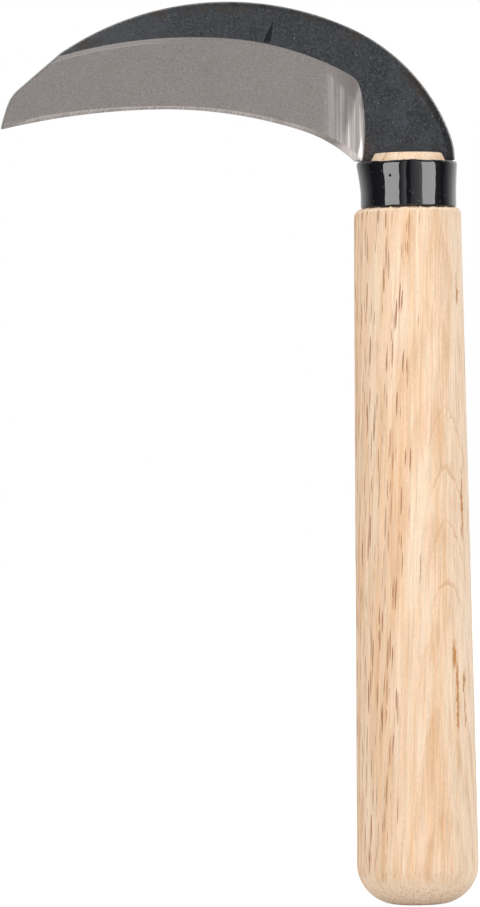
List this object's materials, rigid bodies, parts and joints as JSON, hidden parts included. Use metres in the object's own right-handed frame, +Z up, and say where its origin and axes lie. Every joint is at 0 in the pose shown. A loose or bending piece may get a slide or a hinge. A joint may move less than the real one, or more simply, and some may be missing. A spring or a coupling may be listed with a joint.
{
  "type": "hand sickle",
  "caption": "Short one-handed sickle: a ground crescent blade pinned by its tang in a tapered wooden handle, with a black ferrule round the joint.",
  "frame": {"origin": "centre of the handle's flat butt end, on the handle's axis", "axes": "+Z up the handle's axis from the butt to the blade, the blade sweeps out towards -X, and its ground face looks towards -Y"},
  "size_m": [0.1165, 0.0304, 0.2266],
  "materials": {
    "forged_steel": "black forge scale with a ground bevel and a honed edge",
    "black_lacquer": "glossy black lacquer",
    "oak": "sanded, unvarnished",
    "nail_steel": "dull wrought steel"
  },
  "bodies": {
    "root": {"blade": "forged_steel", "ferrule": "black_lacquer", "handle": "oak", "tang_nail": "nail_steel"}
  },
  "joints": []
}
